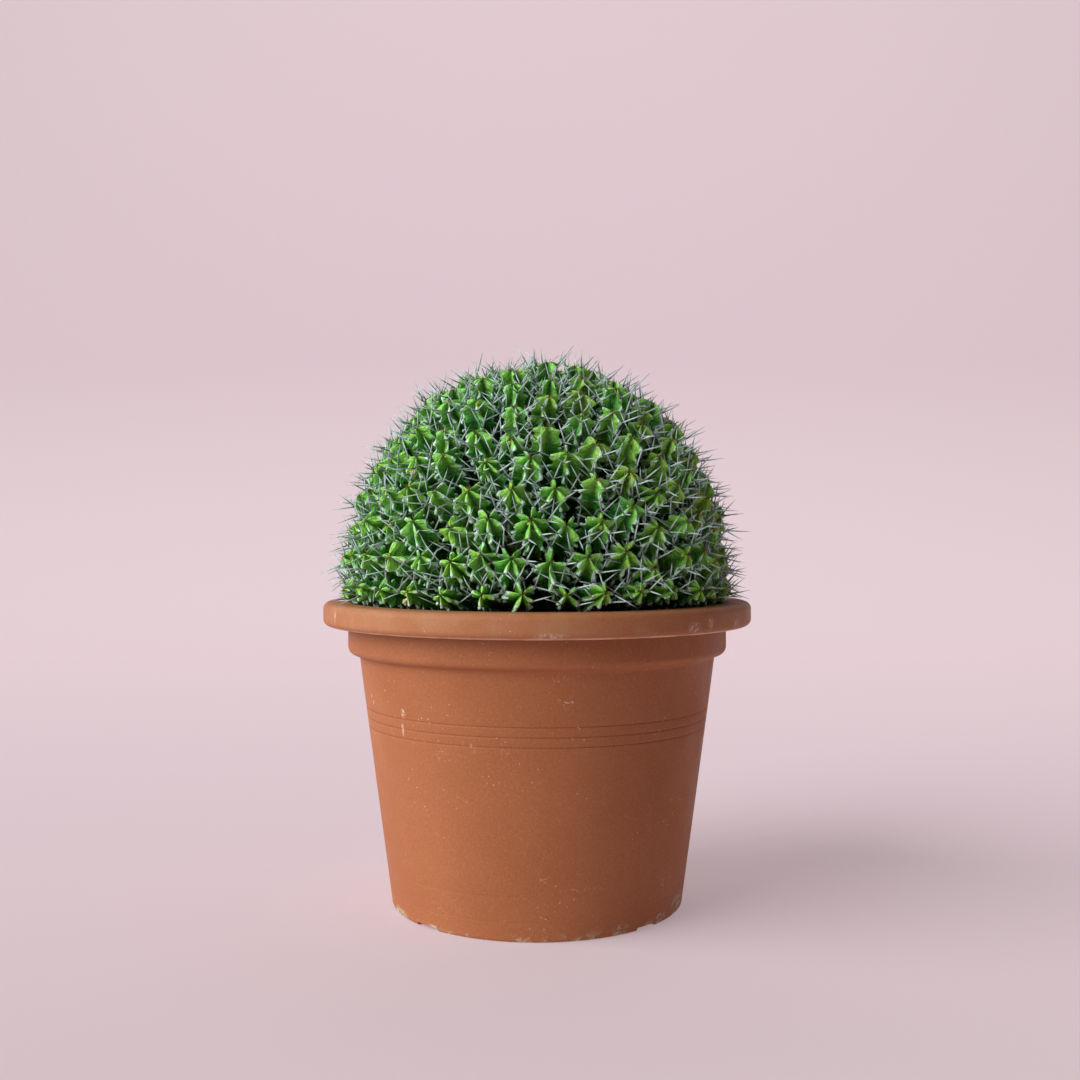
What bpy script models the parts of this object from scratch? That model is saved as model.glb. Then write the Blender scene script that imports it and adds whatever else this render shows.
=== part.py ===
"""A mound-forming, many-stemmed spiny succulent growing in a round terracotta-coloured plastic pot.

Metres, +Z up. The origin is on the floor, under the middle of the pot. The pot is a turned shell with
a rolled lip, the potting mix fills it, and every branch of the plant stands on the mix: a basal stalk
that forks into a handful of ribbed stem heads, whose tips together make the dome.
"""

import math

import bmesh
import bpy
import numpy as np
from mathutils import Vector

MM = 0.001
GAP = 0.3 * MM  # clearance between pieces that touch

# Pot: a thin moulded shell, 300 mm across the lip
RIM_RADIUS = 150.0 * MM
POT_HEIGHT = 211.5 * MM
WALL = 2.6 * MM
LIP_HEIGHT = 16.0 * MM
COLLAR_RADIUS = 132.9 * MM
COLLAR_FOOT = 174.0 * MM
BODY_TOP_RADIUS = 124.6 * MM
BODY_TOP = 170.5 * MM
FOOT_RADIUS = 102.4 * MM
FOOT_TOP = 2.0 * MM
FOOT_WIDTH = 4.0 * MM
FLOOR_UNDERSIDE = 6.0 * MM
FLOOR_TOP = 9.0 * MM
RING_HEIGHTS = (139.0 * MM, 132.5 * MM, 126.1 * MM)
RING_DEPTH = 0.4 * MM
RING_HALF_WIDTH = 0.7 * MM
POT_SIDES = 48

# Openings in the foot: notches through its edge, drain holes through the floor of the pot
NOTCHES = 4
NOTCH_WIDTH = 18.0 * MM
NOTCH_HEIGHT = 2.3 * MM
DRAIN_RADIUS = 5.5 * MM
DRAIN_CIRCLE = 68.0 * MM

# Potting mix
SOIL_TOP = POT_HEIGHT - 14.5 * MM

# Mound: the surface that the stem tips reach, a rounded dome about its own centre
DOME_CENTRE = POT_HEIGHT - 7.0 * MM
DOME_RADIUS = 138.8 * MM
DOME_RISE = 174.9 * MM
DOME_POWER = 2.12
LOWEST_TIP = POT_HEIGHT + 10.5 * MM

# Stem heads and the branches that carry them
HEADS = 240
BRANCHES = 56
SEED = 7
SETTLING_STEPS = 200
SETTLING_PITCH = 1.2
SETTLING_RATE = 0.2
HEAD_RADIUS = 10.8 * MM
RIB_CHOICES = (4, 4, 5, 5)
SHOULDER_DEPTH = 8.0 * MM
WAIST_DEPTH = 24.0 * MM
WAIST_SHARE = 0.62
GROOVE_SHARE = 0.64
NECK_RADIUS = 1.8 * MM
NECK_LENGTH = 4.5 * MM
NECK_SPREAD = 0.18  # how far apart the necks leave the fork, as a share of their tips' spread
FORK_MARGIN = 0.4 * MM
FORK_SHARE = 0.55
STALK_FOOT_RADIUS = 5.0 * MM
STALK_SIDES = 7
CROWN_HEIGHT = 180.0 * MM  # the height that all branches point away from
STALK_SPREAD = 60.0 * MM  # distance of a stalk's foot from the middle, for each radian it leans

TERRACOTTA = ((0.42, 0.155, 0.075), 0.62)
POTTING_MIX = ((0.045, 0.028, 0.018), 0.95)
STEM_GREEN = ((0.13, 0.33, 0.045), 0.48)


def clear_scene():
    for item in list(bpy.data.objects):
        bpy.data.objects.remove(item, do_unlink=True)


def new_collection(name):
    collection = bpy.data.collections.new(name)
    bpy.context.scene.collection.children.link(collection)
    return collection


def new_material(name, look):
    colour, roughness = look
    material = bpy.data.materials.new(name)
    material.use_nodes = True
    shader = material.node_tree.nodes["Principled BSDF"]
    shader.inputs["Base Color"].default_value = (*colour, 1.0)
    shader.inputs["Roughness"].default_value = roughness
    shader.inputs["Metallic"].default_value = 0.0
    material.diffuse_color = (*colour, 1.0)
    return material


def new_object(name, mesh, collection, material=None):
    item = bpy.data.objects.new(name, mesh)
    collection.objects.link(item)
    if material:
        item.data.materials.append(material)
    return item


def turned(name, profile, collection, material):
    """A solid turned about Z from (radius, height) points that run down its outer side."""
    mesh = bpy.data.meshes.new(name)
    edges = [(i, i + 1) for i in range(len(profile) - 1)]
    mesh.from_pydata([(radius, 0.0, height) for radius, height in profile], edges, [])
    item = new_object(name, mesh, collection, material)
    screw = item.modifiers.new("turn", "SCREW")
    screw.steps = POT_SIDES
    screw.render_steps = POT_SIDES
    screw.use_merge_vertices = True
    screw.merge_threshold = 0.00001
    return item


def cut(item, cutter):
    """Take the cutter's shape out of the item, and keep the cutter as a guide."""
    cutter.hide_render = True
    cutter.display_type = "WIRE"
    boolean = item.modifiers.new("cut", "BOOLEAN")
    boolean.operation = "DIFFERENCE"
    boolean.solver = "EXACT"
    boolean.object = cutter


def body_radius(height):
    """Outer radius of the tapering wall between the foot and the collar."""
    share = (height - FOOT_TOP) / (BODY_TOP - FOOT_TOP)
    return FOOT_RADIUS + share * (BODY_TOP_RADIUS - FOOT_RADIUS)


def inner_wall():
    """The inside of the pot from its floor up to the rim, as (radius, height) points."""
    corner = 3.0 * MM
    bore = COLLAR_RADIUS - WALL
    return [
        (body_radius(FLOOR_TOP) - WALL - corner, FLOOR_TOP),
        (body_radius(FLOOR_TOP + corner) - WALL, FLOOR_TOP + corner),
        (body_radius(BODY_TOP) - WALL, BODY_TOP),
        (BODY_TOP_RADIUS - WALL + 1.5 * MM, COLLAR_FOOT + 1.5 * MM),
        (bore, COLLAR_FOOT + 8.5 * MM),
    ]


def rim_lip():
    """The rolled lip: over the top, down its face and up inside its hollow underside."""
    bottom = POT_HEIGHT - LIP_HEIGHT
    bore = COLLAR_RADIUS - WALL
    return [
        (bore, POT_HEIGHT - 1.6 * MM),
        (bore + 1.6 * MM, POT_HEIGHT),
        (RIM_RADIUS - 4.0 * MM, POT_HEIGHT),
        (RIM_RADIUS - 1.2 * MM, POT_HEIGHT - 1.1 * MM),
        (RIM_RADIUS, POT_HEIGHT - 4.0 * MM),
        (RIM_RADIUS, bottom + 5.0 * MM),
        (RIM_RADIUS - 1.1 * MM, bottom + 2.0 * MM),
        (RIM_RADIUS - 3.6 * MM, bottom),
        (RIM_RADIUS - 3.6 * MM, bottom + 2.4 * MM),
        (RIM_RADIUS - WALL, bottom + 5.0 * MM),
        (RIM_RADIUS - WALL, POT_HEIGHT - 4.4 * MM),
        (RIM_RADIUS - 4.6 * MM, POT_HEIGHT - WALL),
        (COLLAR_RADIUS, POT_HEIGHT - WALL),
    ]


def collar_and_body():
    """Down the collar, round its lower corner and down the tapering wall with its three rings."""
    points = [
        (COLLAR_RADIUS, COLLAR_FOOT + 6.5 * MM),
        (COLLAR_RADIUS - 1.6 * MM, COLLAR_FOOT + 3.0 * MM),
        (COLLAR_RADIUS - 5.0 * MM, COLLAR_FOOT + 0.6 * MM),
        (BODY_TOP_RADIUS, BODY_TOP),
    ]
    for height in RING_HEIGHTS:
        points += [
            (body_radius(height + RING_HALF_WIDTH), height + RING_HALF_WIDTH),
            (body_radius(height) - RING_DEPTH, height),
            (body_radius(height - RING_HALF_WIDTH), height - RING_HALF_WIDTH),
        ]
    return points


def foot():
    """The rounded lower edge, the standing ring and the raised underside out to the wall."""
    ground = FOOT_RADIUS - 2.2 * MM
    inside = ground - FOOT_WIDTH
    return [
        (FOOT_RADIUS, FOOT_TOP),
        (FOOT_RADIUS - 0.7 * MM, 0.6 * MM),
        (ground, 0.0),
        (inside, 0.0),
        (inside, FLOOR_UNDERSIDE),
    ]


def make_pot(collection, cutters, material):
    profile = [(0.0, FLOOR_TOP)] + inner_wall() + rim_lip() + collar_and_body() + foot()
    profile.append((0.0, FLOOR_UNDERSIDE))
    pot = turned("pot", profile, collection, material)
    for index in range(NOTCHES):
        angle = math.tau * (index + 0.5) / NOTCHES
        outward = Vector((math.cos(angle), math.sin(angle), 0.0))
        block = bmesh.new()
        bmesh.ops.create_cube(block, size=1.0)
        bmesh.ops.scale(block, vec=(30.0 * MM, NOTCH_WIDTH, 2.0 * NOTCH_HEIGHT), verts=block.verts)
        notch = new_object(f"notch_{index + 1}", bpy.data.meshes.new("notch"), cutters)
        block.to_mesh(notch.data)
        block.free()
        notch.location = outward * FOOT_RADIUS
        notch.rotation_euler.z = angle
        cut(pot, notch)
        drill = bmesh.new()
        bmesh.ops.create_cone(drill, cap_ends=True, segments=10, radius1=DRAIN_RADIUS,
                              radius2=DRAIN_RADIUS, depth=4.0 * FLOOR_TOP)
        hole = new_object(f"drain_{index + 1}", bpy.data.meshes.new("drain"), cutters)
        drill.to_mesh(hole.data)
        drill.free()
        hole.location = outward * DRAIN_CIRCLE
        hole.rotation_euler.z = angle
        cut(pot, hole)
    return pot


def make_soil(collection, material):
    """The potting mix: the pot's inside, a touch smaller, up to a level top below the rim."""
    bore = COLLAR_RADIUS - WALL - GAP
    side = [(radius - GAP, height) for radius, height in inner_wall()]
    floor = (side[0][0], FLOOR_TOP + GAP)
    profile = [(0.0, SOIL_TOP), (bore - 1.2 * MM, SOIL_TOP), (bore, SOIL_TOP - 1.2 * MM)]
    profile += list(reversed(side[1:])) + [floor, (0.0, FLOOR_TOP + GAP)]
    return turned("soil", profile, collection, material)


def onto_dome(points):
    """Move each point along its line from the dome's centre onto the dome, no lower than the skirt."""
    arms = points - np.array((0.0, 0.0, DOME_CENTRE))
    across = np.hypot(arms[:, 0], arms[:, 1]) / DOME_RADIUS
    up = np.abs(arms[:, 2]) / DOME_RISE
    reach = (across ** DOME_POWER + up ** DOME_POWER) ** (-1.0 / DOME_POWER)
    placed = np.array((0.0, 0.0, DOME_CENTRE)) + arms * reach[:, None]
    placed[:, 2] = np.maximum(placed[:, 2], LOWEST_TIP)
    level = (placed[:, 2] - DOME_CENTRE) / DOME_RISE
    radius = DOME_RADIUS * np.clip(1.0 - level ** DOME_POWER, 0.0, 1.0) ** (1.0 / DOME_POWER)
    flat = np.hypot(placed[:, 0], placed[:, 1])
    placed[:, :2] *= (radius / np.maximum(flat, 1e-9))[:, None]
    return placed


def settled_sites(count, seed):
    """Sites spread over the dome at an even but irregular pitch, the way crowded stems settle."""
    rng = np.random.default_rng(seed)
    skirt = (LOWEST_TIP - DOME_CENTRE) / DOME_RISE
    polar = np.arccos(1.0 - (1.0 - skirt) * rng.permutation(np.arange(count) + 0.5) / count)
    turn = rng.uniform(0.0, math.tau, count)
    rays = np.stack((np.sin(polar) * np.cos(turn), np.sin(polar) * np.sin(turn), np.cos(polar)), 1)
    sites = onto_dome(np.array((0.0, 0.0, DOME_CENTRE)) + rays * DOME_RADIUS)
    pitch = SETTLING_PITCH * math.sqrt(math.tau * DOME_RADIUS * DOME_RISE * (1.0 - skirt) / count)
    for _ in range(SETTLING_STEPS):
        between = sites[:, None, :] - sites[None, :, :]
        distance = np.linalg.norm(between, axis=2) + np.eye(count)
        push = np.clip(pitch / distance - 1.0, 0.0, 2.0) * (1.0 - np.eye(count))
        shove = (between / distance[:, :, None] * push[:, :, None]).sum(axis=1)
        sites = onto_dome(sites + SETTLING_RATE * pitch * shove)
    return sites


def nearest_gap(sites):
    """How far each site is from its nearest neighbour."""
    distance = np.linalg.norm(sites[:, None, :] - sites[None, :, :], axis=2)
    return (distance + np.eye(len(sites))).min(axis=1)


def lip_room(tip, root):
    """How far the line from root to tip passes from the top inner edge of the pot's lip."""
    axis = (tip - root).normalized()
    edge = Vector((tip.x, tip.y, 0.0)).normalized() * (COLLAR_RADIUS - WALL + 1.6 * MM)
    edge.z = POT_HEIGHT
    reach = edge - tip
    return (reach - axis * reach.dot(axis)).length


def section(mesh, height, radii, turn):
    """Points round a section at this height: the given radii are spaced evenly round it."""
    ring = []
    for step, radius in enumerate(radii):
        angle = turn + math.tau * step / len(radii)
        ring.append(mesh.verts.new((radius * math.cos(angle), radius * math.sin(angle), height)))
    return ring


def head_shell(tip, root, radius, ribs, turn):
    """A stem head lofted from a slender plain neck at its root to a ribbed star and a pointed tip."""
    length = (tip - root).length
    star = [radius, radius * GROOVE_SHARE] * ribs
    slim_star = [part * WAIST_SHARE for part in star]
    mesh = bmesh.new()
    base = section(mesh, 0.0, [NECK_RADIUS] * ribs, turn)
    neck = section(mesh, NECK_LENGTH, [NECK_RADIUS] * ribs, turn)
    waist = section(mesh, length - WAIST_DEPTH, slim_star, turn)
    shoulder = section(mesh, length - SHOULDER_DEPTH, star, turn)
    point = mesh.verts.new((0.0, 0.0, length))
    mesh.faces.new(list(reversed(base)))
    for rib in range(ribs):
        beside = (rib + 1) % ribs
        crest, groove, next_crest = 2 * rib, 2 * rib + 1, 2 * beside
        mesh.faces.new((base[rib], base[beside], neck[beside], neck[rib]))
        mesh.faces.new((neck[rib], waist[groove], waist[crest]))
        mesh.faces.new((neck[rib], neck[beside], waist[groove]))
        mesh.faces.new((neck[beside], waist[next_crest], waist[groove]))
        for first, second in ((crest, groove), (groove, next_crest)):
            mesh.faces.new((waist[first], waist[second], shoulder[second], shoulder[first]))
            mesh.faces.new((shoulder[first], shoulder[second], point))
    bmesh.ops.recalc_face_normals(mesh, faces=mesh.faces)
    return placed_mesh(mesh, root, tip)


def stalk_shell(stand, fork, outward, fork_radius):
    """The basal stalk of a branch: it rises from a level foot and flares and turns to face outward."""
    mesh = bmesh.new()
    bmesh.ops.create_cone(mesh, cap_ends=True, segments=STALK_SIDES, radius1=STALK_FOOT_RADIUS,
                          radius2=fork_radius, depth=1.0)
    lean = Vector((0.0, 0.0, 1.0)).rotation_difference(outward)
    for vertex in mesh.verts:
        level = Vector((vertex.co.x, vertex.co.y, 0.0))
        vertex.co = fork + lean @ level if vertex.co.z > 0.0 else stand + level
    data = bpy.data.meshes.new("shell")
    mesh.to_mesh(data)
    mesh.free()
    return data


def placed_mesh(mesh, start, end):
    """Stand a shape modelled up +Z on the line from start to end, as mesh data."""
    turn = (end - start).to_track_quat("Z", "Y").to_matrix().to_4x4()
    turn.translation = start
    bmesh.ops.transform(mesh, matrix=turn, verts=mesh.verts)
    data = bpy.data.meshes.new("shell")
    mesh.to_mesh(data)
    mesh.free()
    return data


def united(name, shells, collection, material):
    """One closed body out of closed shells that run into each other."""
    whole = new_object(name, shells[0], collection)
    parts = [new_object(f"{name}_part", shell, collection) for shell in shells[1:]]
    for part in parts:
        union = whole.modifiers.new("join", "BOOLEAN")
        union.operation = "UNION"
        union.solver = "EXACT"
        union.object = part
    bpy.context.view_layer.update()
    data = bpy.data.meshes.new_from_object(whole.evaluated_get(bpy.context.evaluated_depsgraph_get()))
    for item in [whole] + parts:
        bpy.data.objects.remove(item, do_unlink=True)
    return new_object(name, data, collection, material)


def fork_and_foot(tips):
    """Where a branch forks, the way it faces there, and where its stalk stands on the potting mix."""
    crown = Vector((0.0, 0.0, CROWN_HEIGHT))
    middle = sum(tips, Vector()) / len(tips)
    outward = (middle - crown).normalized()
    polar = outward.angle(Vector((0.0, 0.0, 1.0)))
    stand = Vector((middle.x, middle.y, 0.0)).normalized() * STALK_SPREAD * polar
    stand.z = SOIL_TOP + GAP
    return crown.lerp(middle, FORK_SHARE), outward, stand


def neck_roots(tips, fork, outward):
    """Where each head's neck leaves the fork, and the radius of the crown that holds them all."""
    roots = []
    spread = 0.0
    for tip in tips:
        arm = tip - fork
        aside = (arm - outward * arm.dot(outward)) * NECK_SPREAD
        spread = max(spread, aside.length)
        roots.append(fork + aside - outward * NECK_RADIUS)
    return roots, (spread + NECK_RADIUS + FORK_MARGIN) / math.cos(math.pi / STALK_SIDES)


def make_branches(collection, material):
    """Share the heads out to the nearest branch, and build each branch from its stalk and heads."""
    rng = np.random.default_rng(SEED)
    tips = settled_sites(HEADS, SEED)
    room = nearest_gap(tips)
    centres = settled_sites(BRANCHES, SEED + 1)
    centres = centres[np.argsort(-centres[:, 2])]
    owner = np.linalg.norm(tips[:, None, :] - centres[None, :, :], axis=2).argmin(axis=1)
    ribs = rng.choice(RIB_CHOICES, HEADS)
    turns = rng.uniform(0.0, math.tau, HEADS)
    for branch in range(BRANCHES):
        members = [int(index) for index in np.flatnonzero(owner == branch)]
        ends = [Vector(tips[index]) for index in members]
        fork, outward, stand = fork_and_foot(ends)
        roots, fork_radius = neck_roots(ends, fork, outward)
        shells = [stalk_shell(stand, fork, outward, fork_radius)]
        for index, tip, root in zip(members, ends, roots):
            radius = min(HEAD_RADIUS, float(room[index]) / 2.0 - GAP, lip_room(tip, root) - GAP)
            shells.append(head_shell(tip, root, radius, int(ribs[index]), float(turns[index])))
        united(f"branch_{branch + 1:02d}", shells, collection, material)


def smooth_round_pieces(items):
    for item in items:
        item.data.shade_smooth()


def main():
    clear_scene()
    succulent = new_collection("potted_succulent")
    cutters = new_collection("cutters")
    pot = make_pot(succulent, cutters, new_material("terracotta_plastic", TERRACOTTA))
    soil = make_soil(succulent, new_material("potting_mix", POTTING_MIX))
    make_branches(succulent, new_material("stem_skin", STEM_GREEN))
    smooth_round_pieces([pot, soil])


main()
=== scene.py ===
"""The looks of the potted succulent: a dome of ribbed, spiny stem heads in a terracotta-coloured pot.

Every branch of the CAD model gets a detailed piece in its place: winged, wavy ribs with a pale horny
margin, and paired spines. The pot, the potting mix and the small dried flowers follow. Lengths are in
millimetres of the design, times MM, which comes from the width of the CAD pot.
"""

import math

import bmesh
import bpy
import numpy as np
from mathutils import Matrix, Vector, noise


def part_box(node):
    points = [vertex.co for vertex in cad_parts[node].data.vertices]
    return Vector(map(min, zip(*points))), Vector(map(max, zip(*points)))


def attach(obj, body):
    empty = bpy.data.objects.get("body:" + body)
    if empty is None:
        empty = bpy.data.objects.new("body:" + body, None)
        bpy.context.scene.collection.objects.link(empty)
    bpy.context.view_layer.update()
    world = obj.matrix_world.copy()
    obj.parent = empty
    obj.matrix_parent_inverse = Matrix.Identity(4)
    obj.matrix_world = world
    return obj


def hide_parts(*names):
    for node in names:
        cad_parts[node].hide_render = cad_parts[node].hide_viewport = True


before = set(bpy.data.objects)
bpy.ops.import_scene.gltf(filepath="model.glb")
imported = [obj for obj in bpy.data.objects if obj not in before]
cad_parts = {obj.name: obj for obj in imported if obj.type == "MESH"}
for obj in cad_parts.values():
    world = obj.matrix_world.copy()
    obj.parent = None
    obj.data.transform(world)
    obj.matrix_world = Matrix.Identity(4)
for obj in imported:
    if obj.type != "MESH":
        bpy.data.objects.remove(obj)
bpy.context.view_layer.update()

POT_LOW, POT_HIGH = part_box("pot")
SOIL_LOW, SOIL_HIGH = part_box("soil")
RIM_RADIUS = (POT_HIGH[0] - POT_LOW[0]) / 2.0
MM = RIM_RADIUS / 150.0
POT_HEIGHT = POT_HIGH[2]
SOIL_TOP = SOIL_HIGH[2]
BRANCH_NODES = sorted(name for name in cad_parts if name.startswith("branch_"))

# The mound and its branching, as the CAD model lays them out
DOME_CENTRE = POT_HEIGHT - 7.0 * MM
DOME_RADIUS = 138.8 * MM
DOME_RISE = 174.9 * MM
DOME_POWER = 2.12
LOWEST_TIP = POT_HEIGHT + 10.5 * MM
HEADS = 240
SEED = 7
SETTLING_STEPS = 200
SETTLING_PITCH = 1.2
SETTLING_RATE = 0.2
FORK_SHARE = 0.55
CROWN_HEIGHT = 180.0 * MM
STALK_SPREAD = 60.0 * MM
NECK_SPREAD = 0.18

# Stem heads
HEAD_RADIUS = 9.1 * MM  # crests of the ribs, between their teeth
HEAD_RADIUS_SPREAD = 1.2 * MM
TIP_SETBACK = (-2.0 * MM, 3.8 * MM)  # least and most that a tip stands back from the dome
TIP_DRIFT = 0.9 * MM
LARGEST_BOW = 5.0 * MM
LARGEST_TWIST = 9.0  # radians in a metre of stem
TINT = (0.34, 0.16)  # mean and spread of a head's tint, from fresh green at 0 to olive at 1
# Heads to the right, away from the key light, are tinted further towards olive: painted shade.
PAINTED_SHADE_TO_THE_RIGHT = 0.4
RIB_REACH = (0.8, 1.1)  # least and most width of a rib, as a share of the head's radius
CAP_DEPTH = 3.4 * MM  # the blunt end of the head
CAP_SHARE = 0.78
SWELL_DEPTH = 11.5 * MM  # depth at which the ribs reach their full width
GROOVE_SHARE = 0.4
AREOLE_PITCH = 7.3 * MM
TOOTH_HEIGHT = 3.3 * MM
TOOTH_ABOVE = 1.35 * MM  # how far a tooth reaches along the crest, towards the tip and away from it
TOOTH_BELOW = 2.2 * MM
CREST_SWING = 0.16  # radians by which a crest winds from side to side
CREST_HALF_WIDTH = 0.34 * MM
RIB_CHOICES = (4, 4, 5, 5, 5, 6)
FULL_DEPTH = 17.0 * MM  # below this the stem begins to narrow towards its neck
NECK_SHARE = 0.26
SECTION = (1.0, 0.74, 0.5, 0.28, 0.12, 0.03, 0.0, 0.03, 0.12, 0.28, 0.5, 0.74)
SECTION_SIDE = (-1, -1, -1, -1, -1, -1, 0, 1, 1, 1, 1, 1)

# The pot in mm: its taper from above the foot to under the collar, the inner edges of its lip, its
# fine ring lines, and the groove that makes one line as (offset, share of its depth)
FOOT_RADIUS = 102.4
FOOT_HEIGHT = 2.0
SHOULDER_RADIUS = 124.6
SHOULDER_HEIGHT = 170.5
WALL = 2.6
COLLAR_RADIUS = 132.9
LIP_MOUTH = 131.9
RING_HEIGHTS = (139.0, 132.5, 126.1)
RING_GROOVE = ((1.2, 0.0), (0.6, 0.1), (0.25, 0.75), (0.0, 1.0), (-0.25, 0.75), (-0.6, 0.1), (-1.2, 0.0))
NOTCHES = 4  # and as many drain holes
GRIT_STONES = 260

# Spines
SPINE_LENGTH = 17.6 * MM
SPINE_LENGTH_SPREAD = (0.72, 1.18)
SPINE_RADIUS = 0.54 * MM
SPINE_SIDES = 6
DEEPEST_SPINE = 22.0 * MM
MISSING_AT_TIP = 0.2  # share of spines missing near the tip, and how much it grows on the way down
MISSING_GROWTH = 0.75
THINNING_START = 5.0 * MM
THINNING_DEPTH = 8.0 * MM


def new_material(name):
    material = bpy.data.materials.new(name)
    material.use_nodes = True
    tree = material.node_tree
    return material, tree, tree.nodes["Principled BSDF"]


class Nodes:
    """Short names for the shader nodes that the materials share."""

    def __init__(self, tree):
        self.tree = tree

    def add(self, kind, **settings):
        node = self.tree.nodes.new(kind)
        for key, value in settings.items():
            setattr(node, key, value)
        return node

    def link(self, source, target):
        self.tree.links.new(source, target)

    def feed(self, socket, value):
        if isinstance(value, bpy.types.NodeSocket):
            self.tree.links.new(value, socket)
        else:
            socket.default_value = value

    def maths(self, operation, first, second=0.0):
        node = self.add("ShaderNodeMath", operation=operation)
        for socket, value in zip(node.inputs, (first, second)):
            self.feed(socket, value)
        return node.outputs[0]

    def ramp(self, value, stops):
        node = self.add("ShaderNodeValToRGB")
        elements = node.color_ramp.elements
        while len(elements) < len(stops):
            elements.new(0.5)
        for element, (position, colour) in zip(elements, stops):
            element.position = position
            element.color = (*colour, 1.0) if len(colour) == 3 else colour
        self.feed(node.inputs["Fac"], value)
        return node.outputs["Color"]

    def span(self, value, low, high, to_low=0.0, to_high=1.0, smooth=True):
        node = self.add("ShaderNodeMapRange", clamp=True)
        node.interpolation_type = "SMOOTHSTEP" if smooth else "LINEAR"
        self.feed(node.inputs["Value"], value)
        for key, number in (("From Min", low), ("From Max", high), ("To Min", to_low),
                            ("To Max", to_high)):
            self.feed(node.inputs[key], number)
        return node.outputs[0]

    def mix(self, factor, first, second):
        node = self.add("ShaderNodeMix", data_type="RGBA")
        self.feed(node.inputs["Factor"], factor)
        for socket, value in ((node.inputs[6], first), (node.inputs[7], second)):
            if isinstance(value, tuple) and len(value) == 3:
                value = (*value, 1.0)
            self.feed(socket, value)
        return node.outputs[2]

    def noise(self, vector, scale, detail=3.0, roughness=0.5, distortion=0.0):
        node = self.add("ShaderNodeTexNoise")
        self.feed(node.inputs["Vector"], vector)
        for key, number in (("Scale", scale), ("Detail", detail), ("Roughness", roughness),
                            ("Distortion", distortion)):
            self.feed(node.inputs[key], number)
        return node.outputs["Fac"]

    def cells(self, vector, scale):
        node = self.add("ShaderNodeTexVoronoi")
        self.feed(node.inputs["Vector"], vector)
        self.feed(node.inputs["Scale"], scale)
        return node.outputs["Distance"]

    def place(self):
        return self.add("ShaderNodeTexCoord").outputs["Object"]

    def stretched(self, vector, scale):
        node = self.add("ShaderNodeMapping")
        self.feed(node.inputs["Vector"], vector)
        node.inputs["Scale"].default_value = scale
        return node.outputs["Vector"]

    def split(self, vector):
        node = self.add("ShaderNodeSeparateXYZ")
        self.feed(node.inputs[0], vector)
        return node.outputs

    def attribute(self, name):
        node = self.add("ShaderNodeAttribute", attribute_name=name)
        parts = self.add("ShaderNodeSeparateColor")
        self.link(node.outputs["Color"], parts.inputs[0])
        return (*parts.outputs, node.outputs["Alpha"])

    def patch(self, place, azimuth, height, radius, width, tall):
        """A soft-edged spot on the pot, at an azimuth from the front, with its lengths in mm."""
        turn = math.radians(azimuth)
        shift = self.add("ShaderNodeVectorMath", operation="SUBTRACT")
        self.link(place, shift.inputs[0])
        centre = (radius * math.sin(turn) * MM, -radius * math.cos(turn) * MM, height * MM)
        shift.inputs[1].default_value = centre
        scaled = self.add("ShaderNodeVectorMath", operation="MULTIPLY")
        self.link(shift.outputs[0], scaled.inputs[0])
        scaled.inputs[1].default_value = (1.0 / (width * MM), 1.0 / (width * MM), 1.0 / (tall * MM))
        reach = self.add("ShaderNodeVectorMath", operation="LENGTH")
        self.link(scaled.outputs[0], reach.inputs[0])
        return self.span(reach.outputs["Value"], 1.0, 0.35)

    def bump(self, height, strength, distance, normal=None):
        node = self.add("ShaderNodeBump")
        self.feed(node.inputs["Height"], height)
        self.feed(node.inputs["Strength"], strength)
        self.feed(node.inputs["Distance"], distance)
        if normal is not None:
            self.feed(node.inputs["Normal"], normal)
        return node.outputs["Normal"]


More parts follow.
